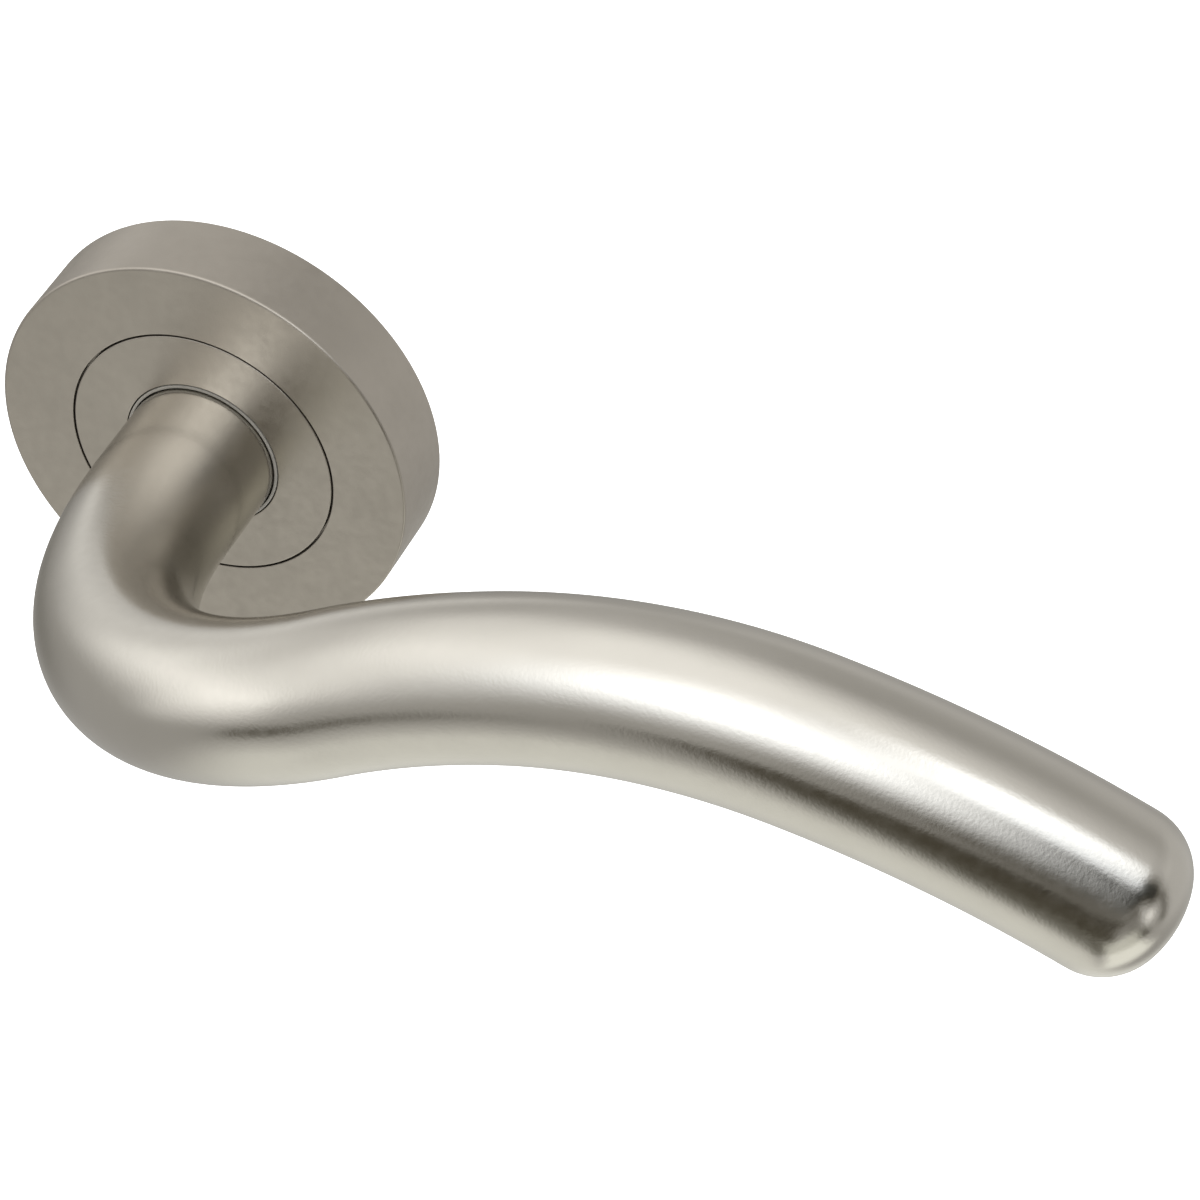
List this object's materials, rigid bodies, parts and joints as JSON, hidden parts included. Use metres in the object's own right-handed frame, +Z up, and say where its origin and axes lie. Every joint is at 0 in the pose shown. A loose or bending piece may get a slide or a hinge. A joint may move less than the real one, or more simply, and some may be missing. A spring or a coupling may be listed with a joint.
{
  "type": "door lever handle",
  "caption": "Tubular door lever with an arched, dome-ended arm, sprung on a flat round rose; square half spindle and two fixing posts behind.",
  "frame": {"origin": "on the spindle axis, in the plane of the door's face that the rose rests on", "axes": "+X along the lever towards its tip, -Y out of the door towards the user, +Y into the door along the spindle, +Z up"},
  "size_m": [0.1588, 0.0907, 0.0578],
  "materials": {
    "rose_nickel": "satin nickel",
    "lever_nickel": "satin nickel",
    "cast_zinc": "as cast",
    "plated_steel": "bright zinc plate",
    "spring_steel": "oiled",
    "black_steel": "black oxide",
    "nylon": "moulded"
  },
  "bodies": {
    "rose": {"rose_cover": "rose_nickel", "bearing_plate": "rose_nickel", "neck_bush": "nylon", "rose_base": "cast_zinc", "base_bush": "nylon", "stop_pin_rest": "plated_steel", "stop_pin_turned": "plated_steel", "spring_anchor_pin": "plated_steel", "return_spring": "spring_steel", "plate_screw_1": "plated_steel", "plate_screw_2": "plated_steel", "fixing_post_1": "plated_steel", "fixing_post_2": "plated_steel"},
    "lever": {"lever": "lever_nickel", "spindle_socket": "cast_zinc", "spindle": "plated_steel", "grub_screw": "black_steel", "drive_collar": "plated_steel", "drive_pin": "black_steel", "retaining_ring": "spring_steel", "wave_washer": "spring_steel"}
  },
  "joints": [
    {"name": "lever_turn", "type": "hinge", "parent": "rose", "child": "lever", "pos_m": [0, 0, 0], "axis": [0, 1, 0], "range_deg": [0, 50], "stiffness_Nm_per_rad": 0.8, "springref_deg": -28.65, "deforming": ["return_spring"]}
  ]
}
